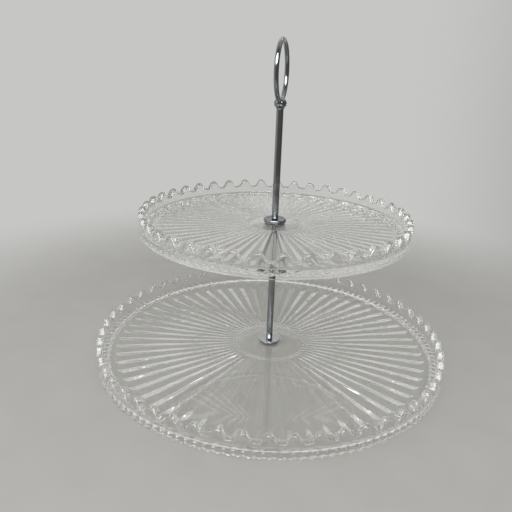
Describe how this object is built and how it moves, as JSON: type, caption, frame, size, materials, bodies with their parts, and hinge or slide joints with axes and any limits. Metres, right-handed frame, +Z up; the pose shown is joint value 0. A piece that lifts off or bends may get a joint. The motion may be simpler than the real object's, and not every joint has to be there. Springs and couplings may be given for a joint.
{
  "type": "tiered cake stand",
  "caption": "Round pressed glass plates with wavy rims and sunburst floors, set in tiers on a chromed rod with a ring handle, for serving cakes.",
  "frame": {"origin": "on the table plane under the middle of the lower plate", "axes": "+Z up along the rod; -Y towards the picture's camera; +X to its right"},
  "size_m": [0.323, 0.323, 0.282],
  "materials": {
    "glass": "fire polished, clear",
    "chrome": "bright chrome plate",
    "steel": "zinc bright",
    "rubber": "matt, pale translucent"
  },
  "bodies": {
    "base": {"lower_plate": "glass", "lower_plate_top_seal": "rubber", "lower_plate_bottom_seal": "rubber"},
    "column": {"bottom_screw": "steel", "bottom_washer": "steel", "lower_washer": "chrome", "lower_rod": "chrome", "support_washer": "steel", "joining_stud": "steel", "upper_flange": "chrome", "upper_rod": "chrome"},
    "top_tier": {"upper_plate": "glass", "upper_plate_bottom_seal": "rubber", "upper_plate_top_seal": "rubber"},
    "handle_collar": {"handle_collar": "chrome"},
    "handle": {"handle_knob": "chrome", "handle_ring": "chrome"}
  },
  "joints": [
    {"name": "column_turn", "type": "hinge", "parent": "base", "child": "column", "pos_m": [0, 0, 0.0088], "axis": [0, 0, 1], "continuous": true},
    {"name": "top_tier_turn", "type": "hinge", "parent": "column", "child": "top_tier", "pos_m": [0, 0, 0.1268], "axis": [0, 0, 1], "continuous": true},
    {"name": "handle_unscrew", "type": "hinge", "parent": "column", "child": "handle_collar", "pos_m": [0, 0, 0.2261], "axis": [0, 0, 1], "range_deg": [0, 4320]},
    {"name": "handle_rise", "type": "slide", "parent": "handle_collar", "child": "handle", "axis": [0, 0, 1], "range_m": [0, 0.0084]}
  ],
  "couplings": [
    {"joint": "handle_rise", "follows": "handle_unscrew", "m_per_rad": 0.00011141}
  ]
}
